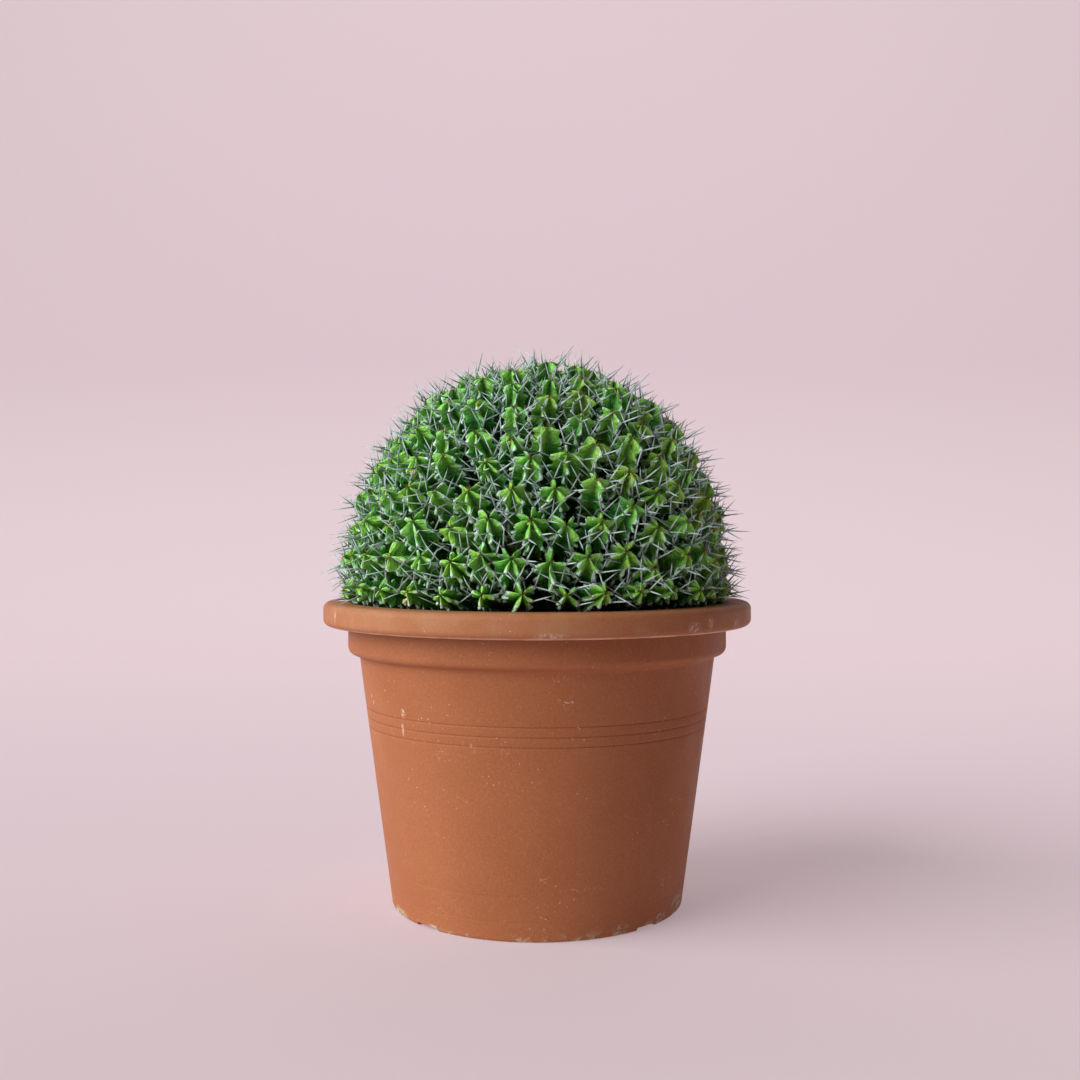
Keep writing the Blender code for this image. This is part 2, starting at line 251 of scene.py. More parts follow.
def skin_material():
    """Fleshy green stem skin.

    The skin attribute holds how pale the crest margin is (partly horn, partly painted sheen), the depth
    and the head's tint. Its alpha says how far a point lies from its rib's crest, from 0 to 1 at the
    groove. The skin is darkened towards the grooves and to near black with depth, as painted shade.
    """
    material, tree, shader = new_material("stem_skin_looks")
    n = Nodes(tree)
    margin, depth, tint, side = n.attribute("skin")
    place = n.place()
    broad = n.noise(place, 22.0, 2.0)
    fine = n.noise(place, 420.0, 4.0, 0.6)
    young = n.ramp(tint, [(0.0, (0.22, 0.75, 0.13)), (0.5, (0.33, 0.78, 0.1)), (1.0, (0.47, 0.58, 0.06))])
    grown = n.ramp(tint, [(0.0, (0.032, 0.33, 0.05)), (0.5, (0.08, 0.36, 0.03)),
                          (1.0, (0.14, 0.2, 0.014))])
    # Painted shade: deeper in the mound, between the heads, the skin darkens to near black.
    painted_deep_shade = n.mix(broad, (0.02, 0.06, 0.01), (0.045, 0.04, 0.015))
    colour = n.mix(n.span(depth, 0.02, 0.3), young, grown)
    colour = n.mix(n.span(depth, 0.3, 0.9), colour, painted_deep_shade)
    # Painted shade: the skin is darkened towards the grooves between the ribs.
    painted_crease_shade = n.maths("MULTIPLY", n.span(side, 0.35, 1.0), 0.85)
    colour = n.mix(painted_crease_shade, colour, (0.02, 0.12, 0.012))
    blotch = n.span(n.noise(place, 90.0, 3.0), 0.42, 0.68)
    colour = n.mix(n.maths("MULTIPLY", blotch, 0.45), colour, (0.34, 0.62, 0.08))
    shady = n.span(n.noise(place, 75.0, 2.0, 0.5, 0.5), 0.5, 0.66)
    colour = n.mix(n.maths("MULTIPLY", shady, 0.5), colour, (0.03, 0.2, 0.03))
    uneven = n.maths("ADD", n.maths("MULTIPLY", n.maths("SUBTRACT", fine, 0.5), 0.9),
                     n.maths("MULTIPLY", n.maths("SUBTRACT", n.noise(place, 120.0, 2.0), 0.5), 1.5))
    # The pale crest margin: partly real horn, partly a painted sheen on the crests.
    horn_margin_and_sheen = n.span(n.maths("ADD", margin, uneven), 0.42, 0.78)
    horn = n.ramp(n.noise(place, 160.0, 3.0), [(0.3, (0.46, 0.64, 0.5)), (0.52, (0.72, 0.96, 0.84)),
                                               (0.75, (0.3, 0.26, 0.2))])
    colour = n.mix(horn_margin_and_sheen, colour, horn)
    n.link(colour, shader.inputs["Base Color"])
    gloss = n.span(n.noise(place, 130.0, 3.0), 0.3, 0.7, 0.24, 0.42)
    n.link(n.maths("ADD", gloss, n.maths("MULTIPLY", horn_margin_and_sheen, 0.25)), shader.inputs["Roughness"])
    shader.inputs["Specular IOR Level"].default_value = 0.4
    chevron = n.maths("ADD", n.maths("MULTIPLY", depth, 110.0), n.maths("MULTIPLY", side, 9.0))
    chevron = n.maths("ADD", chevron, n.maths("MULTIPLY", n.noise(place, 160.0, 2.0), 11.0))
    furrows = n.maths("MULTIPLY", n.maths("SINE", chevron), 0.22)
    relief = n.maths("ADD", furrows, n.noise(place, 300.0, 4.0, 0.6))
    folds = n.bump(n.noise(place, 170.0, 2.0, 0.5, 0.6), 1.0, 0.003)
    n.link(n.bump(relief, 0.6, 0.0006, folds), shader.inputs["Normal"])
    return material


def spine_material():
    """Silvery horn with a darker base and a brown point.

    The spine attribute holds the place along the spine, its shade and its age. The shade is a random tone
    darkened with depth in the mound, as painted shade.
    """
    material, tree, shader = new_material("spine_looks")
    n = Nodes(tree)
    along, shade, age, _ = n.attribute("spine")
    place = n.place()
    horn = n.ramp(shade, [(0.0, (0.06, 0.055, 0.05)), (0.35, (0.24, 0.32, 0.31)),
                          (1.0, (0.68, 0.86, 0.84))])
    young = n.mix(shade, (0.3, 0.13, 0.06), (0.42, 0.25, 0.13))
    colour = n.mix(n.span(age, 0.15, 0.6), young, horn)
    point = n.span(along, 0.7, 1.0)
    colour = n.mix(n.maths("MULTIPLY", point, 0.7), colour, (0.13, 0.075, 0.05))
    colour = n.mix(n.span(along, 0.22, 0.0, 0.0, 0.85), colour, (0.1, 0.07, 0.05))
    streak = n.noise(n.stretched(place, (1.0, 1.0, 0.35)), 700.0, 3.0)
    colour = n.mix(n.span(streak, 0.45, 0.75, 0.0, 0.5), colour, (0.2, 0.17, 0.14))
    n.link(colour, shader.inputs["Base Color"])
    n.link(n.span(streak, 0.3, 0.7, 0.3, 0.5), shader.inputs["Roughness"])
    shader.inputs["Specular IOR Level"].default_value = 0.3
    n.link(n.bump(streak, 0.4, 0.0002), shader.inputs["Normal"])
    return material


# Marks on the pot: azimuth from the front in degrees, height, radius of the pot there, half width and
# half height of the mark in mm, and how strong it is
SMUDGES = (
    (-45.5, 143.0, 120.8, 2.6, 4.2, 1.0),
    (-46.5, 133.0, 119.6, 1.5, 9.0, 0.75),
    (-66.0, 150.5, 121.8, 1.7, 2.4, 1.0),
    (-64.5, 145.5, 121.2, 1.4, 2.0, 0.9),
    (-68.0, 123.5, 118.2, 1.5, 1.6, 0.9),
    (41.0, 200.5, 149.8, 7.5, 5.0, 0.7),
    (47.0, 203.0, 149.8, 4.0, 6.0, 0.6),
    (60.0, 200.0, 149.8, 6.0, 4.0, 0.65),
    (-62.0, 205.0, 149.8, 2.4, 7.0, 0.55),
    (3.0, 198.0, 149.8, 14.0, 2.4, 0.55),
)
SCRATCHES = (
    (-22.0, 122.0, 118.2, 9.0, 9.0, 0.75),
    (-9.0, 126.0, 118.8, 7.0, 7.0, 0.7),
    (-30.0, 118.0, 117.8, 8.0, 5.0, 0.5),
    (9.0, 155.0, 122.5, 8.0, 7.0, 0.75),
    (5.0, 170.0, 124.4, 10.0, 4.0, 0.6),
    (15.0, 34.0, 106.8, 16.0, 3.0, 0.7),
    (3.0, 42.0, 107.8, 6.0, 5.0, 0.6),
    (55.0, 28.0, 106.0, 14.0, 12.0, 0.5),
)
LIME_SPOTS = (
    (-64.0, 2.0, 101.5, 15.0, 5.5, 1.0),
    (-41.0, 1.5, 101.5, 7.0, 4.0, 1.0),
    (-33.0, 0.5, 101.5, 9.0, 2.6, 0.8),
    (32.0, 3.5, 101.8, 8.0, 5.5, 0.9),
    (53.0, 3.5, 101.8, 8.0, 6.0, 0.9),
    (68.0, 8.0, 102.5, 17.0, 9.0, 0.75),
)


def pot_material():
    """Moulded terracotta-coloured plastic, finely grained, with scuffs, dust and lime marks."""
    material, tree, shader = new_material("terracotta_looks")
    n = Nodes(tree)
    place = n.place()
    x, y, z = n.split(place)
    radius = n.maths("SQRT", n.maths("ADD", n.maths("MULTIPLY", x, x), n.maths("MULTIPLY", y, y)))
    broad = n.noise(place, 9.0, 3.0, 0.55)
    grain = n.noise(place, 800.0, 3.0, 0.65)
    colour = n.mix(n.span(broad, 0.3, 0.7), (0.385, 0.13, 0.051), (0.43, 0.152, 0.063))
    colour = n.mix(n.span(grain, 0.5, 0.75, 0.0, 0.35), colour, (0.24, 0.068, 0.024))
    colour = n.mix(n.span(grain, 0.47, 0.25, 0.0, 0.4), colour, (0.6, 0.27, 0.14))
    # painted shade: a thin dark line in each ring groove, fading in places
    for level in RING_HEIGHTS:
        gap = n.maths("ABSOLUTE", n.maths("SUBTRACT", z, level * MM))
        line = n.maths("MULTIPLY", n.span(gap, 0.55 * MM, 0.1 * MM), n.span(broad, 0.35, 0.6, 0.25, 0.6))
        colour = n.mix(line, colour, (0.24, 0.06, 0.022))
    # chalky film that collects on the lip
    film = n.maths("MULTIPLY", n.span(z, POT_HEIGHT - 17.0 * MM, POT_HEIGHT - 10.0 * MM),
                   n.span(n.noise(place, 26.0, 4.0, 0.6), 0.38, 0.72, 0.1, 0.55))
    colour = n.mix(film, colour, (0.5, 0.27, 0.14))
    # painted highlight: a pale line along the lower edge of the lip
    edge = n.maths("MULTIPLY", n.span(z, POT_HEIGHT - 14.4 * MM, POT_HEIGHT - 15.8 * MM),
                   n.span(radius, 145.4 * MM, 146.2 * MM))
    edge = n.maths("MULTIPLY", edge, n.span(n.noise(place, 60.0, 4.0), 0.32, 0.55, 0.45, 1.0))
    colour = n.mix(edge, colour, (0.74, 0.5, 0.34))
    # lime crust along the foot, thickest beside two of the notches
    crust = n.maths("MULTIPLY", n.span(n.noise(place, 55.0, 6.0, 0.7, 0.6), 0.52, 0.64),
                    n.maths("POWER", n.span(z, 9.0 * MM, 0.5 * MM), 2.0))
    flecks = n.noise(place, 330.0, 5.0, 0.7, 0.8)
    for azimuth, height, wide, width, tall, strength in LIME_SPOTS:
        spot = n.maths("MULTIPLY", n.patch(place, azimuth, height, wide, width, tall), strength)
        spot = n.maths("MULTIPLY", spot, n.span(flecks, 0.4, 0.6))
        crust = n.maths("MAXIMUM", crust, spot)
    crust = n.maths("MULTIPLY", crust, 0.8)
    colour = n.mix(crust, colour, n.mix(n.span(flecks, 0.45, 0.65), (0.5, 0.4, 0.26), (0.76, 0.7, 0.56)))
    # dust specks everywhere, chalky smudges and fine scratches where the pot was handled
    specks = n.maths("MULTIPLY", n.span(n.cells(place, 270.0), 0.15, 0.08),
                     n.span(n.noise(place, 34.0), 0.54, 0.64))
    marks = n.maths("MULTIPLY", specks, 0.7)
    chalk = n.span(n.noise(place, 420.0, 5.0, 0.7), 0.42, 0.6)
    for azimuth, height, wide, width, tall, strength in SMUDGES:
        spot = n.maths("MULTIPLY", n.patch(place, azimuth, height, wide, width, tall), chalk)
        marks = n.maths("MAXIMUM", marks, n.maths("MULTIPLY", spot, strength))
    thread = n.maths("ABSOLUTE", n.maths("SUBTRACT", n.noise(place, 95.0, 2.0, 0.5, 1.2), 0.5))
    thread = n.maths("MULTIPLY", n.span(thread, 0.016, 0.004), n.span(chalk, 0.2, 0.8))
    for azimuth, height, wide, width, tall, strength in SCRATCHES:
        spot = n.maths("MULTIPLY", n.patch(place, azimuth, height, wide, width, tall), thread)
        marks = n.maths("MAXIMUM", marks, n.maths("MULTIPLY", spot, strength))
    colour = n.mix(n.maths("MULTIPLY", marks, 0.85), colour, (0.78, 0.62, 0.49))
    n.link(colour, shader.inputs["Base Color"])
    rough = n.span(n.noise(place, 40.0, 4.0), 0.3, 0.7, 0.5, 0.64)
    n.link(n.maths("ADD", rough, n.maths("MULTIPLY", marks, 0.2)), shader.inputs["Roughness"])
    shader.inputs["Specular IOR Level"].default_value = 0.18
    coarse = n.bump(n.noise(place, 60.0, 3.0), 0.25, 0.0006)
    raised = n.bump(crust, 0.6, 0.0006, coarse)
    n.link(n.bump(grain, 0.6, 0.00025, raised), shader.inputs["Normal"])
    return material


def soil_material():
    """Dark, crumbly potting mix."""
    material, tree, shader = new_material("potting_mix_looks")
    n = Nodes(tree)
    place = n.place()
    lumps = n.noise(place, 240.0, 5.0, 0.65)
    colour = n.ramp(lumps, [(0.3, (0.012, 0.007, 0.004)), (0.55, (0.04, 0.024, 0.015)),
                            (0.8, (0.12, 0.08, 0.05))])
    n.link(colour, shader.inputs["Base Color"])
    n.link(n.span(lumps, 0.2, 0.8, 0.98, 0.82), shader.inputs["Roughness"])
    n.link(n.bump(lumps, 1.0, 0.002), shader.inputs["Normal"])
    return material


def grit_material():
    """Small stones and pale crumbs on the mix."""
    material, tree, shader = new_material("grit_looks")
    n = Nodes(tree)
    place = n.place()
    tone = n.noise(place, 70.0, 2.0)
    colour = n.ramp(tone, [(0.35, (0.1, 0.07, 0.05)), (0.5, (0.3, 0.25, 0.2)), (0.65, (0.55, 0.52, 0.46))])
    n.link(colour, shader.inputs["Base Color"])
    n.link(n.span(n.noise(place, 600.0), 0.3, 0.7, 0.75, 0.95), shader.inputs["Roughness"])
    n.link(n.bump(n.noise(place, 900.0, 4.0), 0.6, 0.0003), shader.inputs["Normal"])
    return material


def petal_material():
    """Dry, papery flower remnants."""
    material, tree, shader = new_material("dried_flower_looks")
    n = Nodes(tree)
    place = n.place()
    tone = n.noise(place, 330.0, 4.0)
    colour = n.ramp(tone, [(0.3, (0.42, 0.33, 0.12)), (0.55, (0.72, 0.68, 0.4)),
                           (0.8, (0.83, 0.82, 0.62))])
    n.link(colour, shader.inputs["Base Color"])
    n.link(n.span(tone, 0.3, 0.7, 0.6, 0.85), shader.inputs["Roughness"])
    n.link(n.bump(n.noise(place, 900.0, 3.0), 0.7, 0.0004), shader.inputs["Normal"])
    return material


def bud_material():
    """Young growth in the heart of a stem head: yellow-green with a pink blush."""
    material, tree, shader = new_material("young_growth_looks")
    n = Nodes(tree)
    place = n.place()
    tone = n.noise(place, 210.0, 3.0)
    colour = n.ramp(tone, [(0.35, (0.3, 0.47, 0.035)), (0.6, (0.46, 0.55, 0.06)),
                           (0.85, (0.5, 0.28, 0.12))])
    n.link(colour, shader.inputs["Base Color"])
    n.link(n.span(tone, 0.3, 0.7, 0.35, 0.5), shader.inputs["Roughness"])
    n.link(n.bump(n.noise(place, 700.0, 3.0), 0.5, 0.0003), shader.inputs["Normal"])
    return material


def finish_piece(name, mesh, material, nodes=()):
    """Put a mesh in the scene as a piece of the object that rides on its one body."""
    piece = bpy.data.objects.new(name, mesh)
    bpy.context.scene.collection.objects.link(piece)
    mesh.materials.append(material)
    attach(piece, "root")
    if nodes:
        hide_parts(*nodes)


class Surface:
    """Gathers shells of vertices, faces and one four-part attribute, and makes one smooth mesh of them."""

    def __init__(self):
        self.points = []
        self.values = []
        self.faces = []
        self.count = 0

    def add(self, points, values, faces):
        self.points.append(points)
        self.values.append(values)
        self.faces += [block + self.count for block in faces]
        self.count += len(points)

    def mesh(self, name, attribute):
        mesh = bpy.data.meshes.new(name)
        points = np.concatenate(self.points)
        corners = np.concatenate([block.ravel() for block in self.faces])
        sizes = np.concatenate([np.full(len(block), block.shape[1]) for block in self.faces])
        mesh.vertices.add(len(points))
        mesh.vertices.foreach_set("co", points.astype(np.float32).ravel())
        mesh.loops.add(len(corners))
        mesh.loops.foreach_set("vertex_index", corners.astype(np.int32))
        mesh.polygons.add(len(sizes))
        mesh.polygons.foreach_set("loop_start", (np.cumsum(sizes) - sizes).astype(np.int32))
        mesh.update(calc_edges=True)
        mesh.validate()
        layer = mesh.attributes.new(attribute, "FLOAT_COLOR", "POINT")
        layer.data.foreach_set("color", np.concatenate(self.values).astype(np.float32).ravel())
        mesh.shade_smooth()
        return mesh


def lofted_faces(rows, around):
    """Quads between the rings of a loft, with the first ring at its top and the last at its bottom."""
    row = np.arange(rows - 1)[:, None] * around
    here = np.arange(around)[None, :]
    after = (here + 1) % around
    below = row + around
    return np.stack((row + here, below + here, below + after, row + after), -1).reshape(-1, 4)


def onto_dome(points):
    """Move each point along its line from the dome's centre onto the dome, no lower than the skirt."""
    arms = points - np.array((0.0, 0.0, DOME_CENTRE))
    across = np.hypot(arms[:, 0], arms[:, 1]) / DOME_RADIUS
    up = np.abs(arms[:, 2]) / DOME_RISE
    reach = (across ** DOME_POWER + up ** DOME_POWER) ** (-1.0 / DOME_POWER)
    placed = np.array((0.0, 0.0, DOME_CENTRE)) + arms * reach[:, None]
    placed[:, 2] = np.maximum(placed[:, 2], LOWEST_TIP)
    level = (placed[:, 2] - DOME_CENTRE) / DOME_RISE
    radius = DOME_RADIUS * np.clip(1.0 - level ** DOME_POWER, 0.0, 1.0) ** (1.0 / DOME_POWER)
    flat = np.hypot(placed[:, 0], placed[:, 1])
    placed[:, :2] *= (radius / np.maximum(flat, 1e-9))[:, None]
    return placed


def settled_sites(count, seed):
    """Sites spread over the dome at an even but irregular pitch, the way crowded stems settle."""
    rng = np.random.default_rng(seed)
    skirt = (LOWEST_TIP - DOME_CENTRE) / DOME_RISE
    polar = np.arccos(1.0 - (1.0 - skirt) * rng.permutation(np.arange(count) + 0.5) / count)
    turn = rng.uniform(0.0, math.tau, count)
    rays = np.stack((np.sin(polar) * np.cos(turn), np.sin(polar) * np.sin(turn), np.cos(polar)), 1)
    sites = onto_dome(np.array((0.0, 0.0, DOME_CENTRE)) + rays * DOME_RADIUS)
    pitch = SETTLING_PITCH * math.sqrt(math.tau * DOME_RADIUS * DOME_RISE * (1.0 - skirt) / count)
    for _ in range(SETTLING_STEPS):
        between = sites[:, None, :] - sites[None, :, :]
        distance = np.linalg.norm(between, axis=2) + np.eye(count)
        push = np.clip(pitch / distance - 1.0, 0.0, 2.0) * (1.0 - np.eye(count))
        shove = (between / distance[:, :, None] * push[:, :, None]).sum(axis=1)
        sites = onto_dome(sites + SETTLING_RATE * pitch * shove)
    return sites


def branch_layout():
    """For each branch: its fork, the way it faces, its foot on the mix, and its heads' tips and roots."""
    tips = settled_sites(HEADS, SEED)
    centres = settled_sites(len(BRANCH_NODES), SEED + 1)
    centres = centres[np.argsort(-centres[:, 2])]
    owner = np.linalg.norm(tips[:, None, :] - centres[None, :, :], axis=2).argmin(axis=1)
    crown = np.array((0.0, 0.0, CROWN_HEIGHT))
    branches = []
    for branch in range(len(BRANCH_NODES)):
        ends = tips[owner == branch]
        middle = ends.mean(axis=0)
        outward = (middle - crown) / np.linalg.norm(middle - crown)
        fork = crown + (middle - crown) * FORK_SHARE
        polar = math.acos(outward[2])
        flat = np.array((middle[0], middle[1], 0.0))
        stand = flat / max(np.linalg.norm(flat), 1e-9) * STALK_SPREAD * polar
        stand[2] = SOIL_TOP
        arms = ends - fork
        roots = fork + (arms - np.outer(arms @ outward, outward)) * NECK_SPREAD
        branches.append({"fork": fork, "outward": outward, "stand": stand, "tips": ends, "roots": roots})
    return branches


def across_axes(axis):
    """Two unit vectors square to an axis and to each other."""
    helper = np.array((0.0, 0.0, 1.0)) if abs(axis[2]) < 0.9 else np.array((1.0, 0.0, 0.0))
    first = np.cross(helper, axis)
    first /= np.linalg.norm(first)
    return first, np.cross(axis, first)


def lip_room(tip, root):
    """How far the line from root to tip passes from the top inner edge of the pot's lip."""
    axis = (tip - root) / np.linalg.norm(tip - root)
    flat = np.array((tip[0], tip[1], 0.0))
    edge = flat / max(np.linalg.norm(flat), 1e-9) * LIP_MOUTH * MM
    edge[2] = POT_HEIGHT
    reach = edge - tip
    return float(np.linalg.norm(reach - axis * (reach @ axis)))


class Head:
    """One stem head: winged ribs round an axis that bows a little from its root to its tip."""

    def __init__(self, tip, root, rng):
        inward = (root - tip) / np.linalg.norm(root - tip)
        drift = rng.normal(0.0, TIP_DRIFT, 3)
        self.tip = tip + inward * rng.uniform(*TIP_SETBACK) + drift - inward * (drift @ inward)
        self.root = root
        self.length = float(np.linalg.norm(self.tip - root))
        self.axis = (self.tip - root) / self.length
        self.first, self.second = across_axes(self.axis)
        lean = rng.uniform(0.0, math.tau)
        self.bow = math.cos(lean) * self.first + math.sin(lean) * self.second
        self.bow *= rng.uniform(0.0, LARGEST_BOW)
        limit = lip_room(tip, root) - 0.6 * TOOTH_HEIGHT
        self.radius = min(HEAD_RADIUS + rng.uniform(-1.0, 1.0) * HEAD_RADIUS_SPREAD, limit)
        self.ribs = int(rng.choice(RIB_CHOICES))
        self.twist = rng.uniform(-LARGEST_TWIST, LARGEST_TWIST) / (1000.0 * MM)
        # Painted shade: heads to the right are tinted towards olive.
        painted_shade_right = PAINTED_SHADE_TO_THE_RIGHT * max(0.0, tip[0] / RIM_RADIUS)
        self.tint = float(np.clip(rng.normal(*TINT) + painted_shade_right, 0.0, 1.0))
        spacing = math.tau / self.ribs
        self.angles = (np.arange(self.ribs) + rng.uniform(-0.1, 0.1, self.ribs)) * spacing
        self.angles += rng.uniform(0.0, math.tau)
        gaps = np.diff(np.append(self.angles, self.angles[0] + math.tau)) / 2.0
        self.half_after = gaps
        self.half_before = np.roll(gaps, 1)
        stagger = 0.26 * (np.arange(self.ribs) % 2)
        self.phase = rng.uniform(0.2, 0.36) + stagger + rng.uniform(0.0, 0.1, self.ribs)
        self.sway = rng.uniform(0.0, math.tau, self.ribs)
        self.tooth = TOOTH_HEIGHT * rng.uniform(0.75, 1.15)
        self.horn = rng.uniform(0.6, 1.0)
        self.reach = rng.uniform(*RIB_REACH, self.ribs)

    def areoles(self, rib, deepest):
        """Depths of the spine cushions down one rib, at an even pitch."""
        depths = AREOLE_PITCH * (self.phase[rib] + np.arange(12))
        return depths[depths < deepest]

    def narrowing(self, depth):
        """How much of its full width the stem keeps at a depth."""
        share = np.clip((depth - FULL_DEPTH) / (self.length - FULL_DEPTH), 0.0, 1.0)
        return 1.0 - (1.0 - NECK_SHARE) * share * share * (3.0 - 2.0 * share)

    def crest(self, rib, depth):
        """Radius of a rib's crest, with its teeth, and how near each point is to a tooth."""
        cap = np.sqrt(1.0 - (1.0 - np.clip(depth / CAP_DEPTH, 0.0, 1.0)) ** 2)
        swell = 1.0 - (1.0 - np.clip(depth / SWELL_DEPTH, 0.0, 1.0)) ** 1.6
        full = self.radius * self.reach[rib] * (CAP_SHARE * cap + (1.0 - CAP_SHARE) * swell)
        tooth = np.zeros_like(depth)
        for at in self.areoles(rib, self.length):
            reach = np.where(depth < at, TOOTH_ABOVE, TOOTH_BELOW)
            grown = min(1.0, 0.5 + at / (9.0 * MM))
            tooth = np.maximum(tooth, np.exp(-((depth - at) / reach) ** 2) * grown)
        return (full + self.tooth * tooth) * self.narrowing(depth), tooth

    def sideways(self, rib, depth):
        """Angle by which a rib's crest swings from side to side on its way down."""
        return CREST_SWING * np.sin(math.pi * depth / AREOLE_PITCH + self.sway[rib])

    def groove(self, depth):
        """Radius of the grooves between the ribs."""
        deep = self.radius * GROOVE_SHARE * (1.0 - np.exp(-(depth / (8.0 * MM)) ** 1.3))
        return deep * self.narrowing(depth)

    def centre(self, depth):
        """Points on the head's bowed axis."""
        share = depth / self.length
        line = self.tip[None, :] - np.outer(depth, self.axis)
        return line + np.outer(np.sin(math.pi * share), self.bow)

    def rows(self):
        """Depths of the loft's rings: close near the tip, wider apart towards the neck."""
        near = np.array((0.3, 0.8, 1.4, 2.1, 2.9, 3.7, 4.6, 5.5, 6.4)) * MM
        middle = np.arange(7.4, 29.0, 1.05) * MM
        lower = np.arange(29.5, 44.0, 2.2) * MM
        deep = np.linspace(46.0 * MM, max(self.length, 50.0 * MM), 4)
        return np.concatenate((near, middle, lower, deep))

    def shell(self):
        """The skin as a closed loft: vertices, their attribute and the faces."""
        depth = self.rows()
        depth = depth[depth <= self.length]
        depth[-1] = self.length
        share = np.array(SECTION)
        side = np.array(SECTION_SIDE)
        groove = self.groove(depth)
        aged = np.clip((depth - 6.0 * MM) / (14.0 * MM), 0.0, 1.0)
        curve = 0.8 + 0.6 * aged
        puff = (0.8 - 0.4 * aged) * MM * self.narrowing(depth) * np.clip(depth / (2.0 * MM), 0.25, 1.0)
        lobe = np.sin(math.pi * np.minimum(1.0, share / 0.8))
        points, values = [], []
        for rib in range(self.ribs):
            crest, tooth = self.crest(rib, depth)
            half = np.where(side <= 0, self.half_before[rib], self.half_after[rib])
            thick = np.minimum(CREST_HALF_WIDTH * (1.0 + 1.3 * tooth), 0.25 * crest)
            inner = groove[:, None] * np.cos(half)[None, :]
            out = crest[:, None] - (crest[:, None] - inner) * share[None, :]
            flare = groove[:, None] * np.sin(half)[None, :] - thick[:, None]
            flare = flare * share[None, :] ** curve[:, None]
            bulge = (puff * (0.3 + 0.85 * tooth))[:, None] * lobe[None, :]
            aside = thick[:, None] * np.minimum(1.0, share / 0.03)[None, :] + flare + bulge
            swing = self.sideways(rib, depth)[:, None] * (1.0 - share)[None, :]
            angle = self.angles[rib] + self.twist * depth[:, None] + swing
            angle = angle + side[None, :] * np.minimum(np.arctan2(aside, out), half[None, :])
            radius = np.hypot(out, aside)
            points.append(np.stack((radius * np.cos(angle), radius * np.sin(angle)), -1))
            # How pale the crest margin is: partly real horn, partly a painted sheen.
            horn_and_sheen = 0.3 + np.clip(depth / (6.0 * MM), 0.0, 1.0)[:, None] * 0.55 + 0.6 * tooth[:, None]
            margin = np.where(share < 0.05, horn_and_sheen, np.where(share < 0.2, 0.7 * tooth[:, None] + 0.12, 0.0))
            values.append(np.broadcast_to(margin * self.horn, out.shape))
        flat = np.concatenate(points, axis=1)
        margin = np.concatenate(values, axis=1)
        around = flat.shape[1]
        spot = self.centre(depth)[:, None, :] + flat[..., :1] * self.first + flat[..., 1:] * self.second
        scale = np.broadcast_to((depth / (42.0 * MM))[:, None], margin.shape)
        sides = np.broadcast_to(np.tile(share, self.ribs)[None, :], margin.shape)
        value = np.stack((margin, scale, np.full_like(scale, self.tint), sides), -1).reshape(-1, 4)
        heart = self.centre(np.array((0.9 * MM,)))
        spot = np.concatenate((spot.reshape(-1, 3), heart))
        value = np.concatenate((value, np.array(((0.2, 0.0, self.tint, 0.5),))))
        last = len(spot) - 1
        ring = np.arange(around)
        top = np.stack((ring, (ring + 1) % around, np.full(around, last)), -1)
        bottom = ((len(depth) - 1) * around + ring)[::-1][None, :]
        return spot, value, [lofted_faces(len(depth), around), top, bottom]

    def spines(self, rng, surface):
        """Stiff spines in pairs at the areoles, rarer with depth, and tiny new ones round the tip."""
        for rib in range(self.ribs):
            for at in self.areoles(rib, DEEPEST_SPINE):
                depth = np.array((at,))
                crest = float(self.crest(rib, depth)[0][0])
                angle = self.angles[rib] + self.twist * at + float(self.sideways(rib, depth)[0])
                outward = math.cos(angle) * self.first + math.sin(angle) * self.second
                along = math.cos(angle) * self.second - math.sin(angle) * self.first
                foot = self.centre(depth)[0] + outward * (crest - 0.5 * MM)
                grown = min(1.0, 0.62 + at / (9.0 * MM))
                lift = 1.3 * (1.0 - min(1.0, at / (14.0 * MM))) + rng.uniform(-0.3, 0.35)
                thinned = np.clip((at - THINNING_START) / THINNING_DEPTH, 0.0, 1.0)
                missing = MISSING_AT_TIP + MISSING_GROWTH * thinned
                for hand in (-1.0, 1.0):
                    if rng.uniform() < missing:
                        continue
                    spread = rng.uniform(0.45, 1.0)
                    rise = lift + rng.uniform(-0.15, 0.15)
                    way = outward * 0.75 + along * hand * spread + self.axis * rise
                    way /= np.linalg.norm(way)
                    length = SPINE_LENGTH * grown * rng.uniform(*SPINE_LENGTH_SPREAD)
                    end = foot + way * length
                    # a spine that would run into the pot's lip is left out
                    if end[2] < POT_HEIGHT + 1.0 * MM and math.hypot(end[0], end[1]) > 120.0 * MM:
                        continue
                    # Painted shade: a spine's random tone darkens with depth, to dark deep in the mound.
                    shade = rng.uniform(0.65, 1.15) * (1.0 - min(1.0, at / DEEPEST_SPINE))
                    radius = SPINE_RADIUS * (0.6 + 0.4 * grown)
                    add_spine(surface, foot, way, length, radius, shade, grown, rng)
            angle = self.angles[rib] + rng.uniform(-0.4, 0.4)
            outward = math.cos(angle) * self.first + math.sin(angle) * self.second
            foot = self.centre(np.array((0.7 * MM,)))[0] + outward * rng.uniform(0.8, 1.8) * MM
            way = self.axis + outward * rng.uniform(0.1, 0.9)
            way /= np.linalg.norm(way)
            add_spine(surface, foot, way, rng.uniform(1.8, 3.6) * MM, 0.24 * MM, 0.5, 0.1, rng)


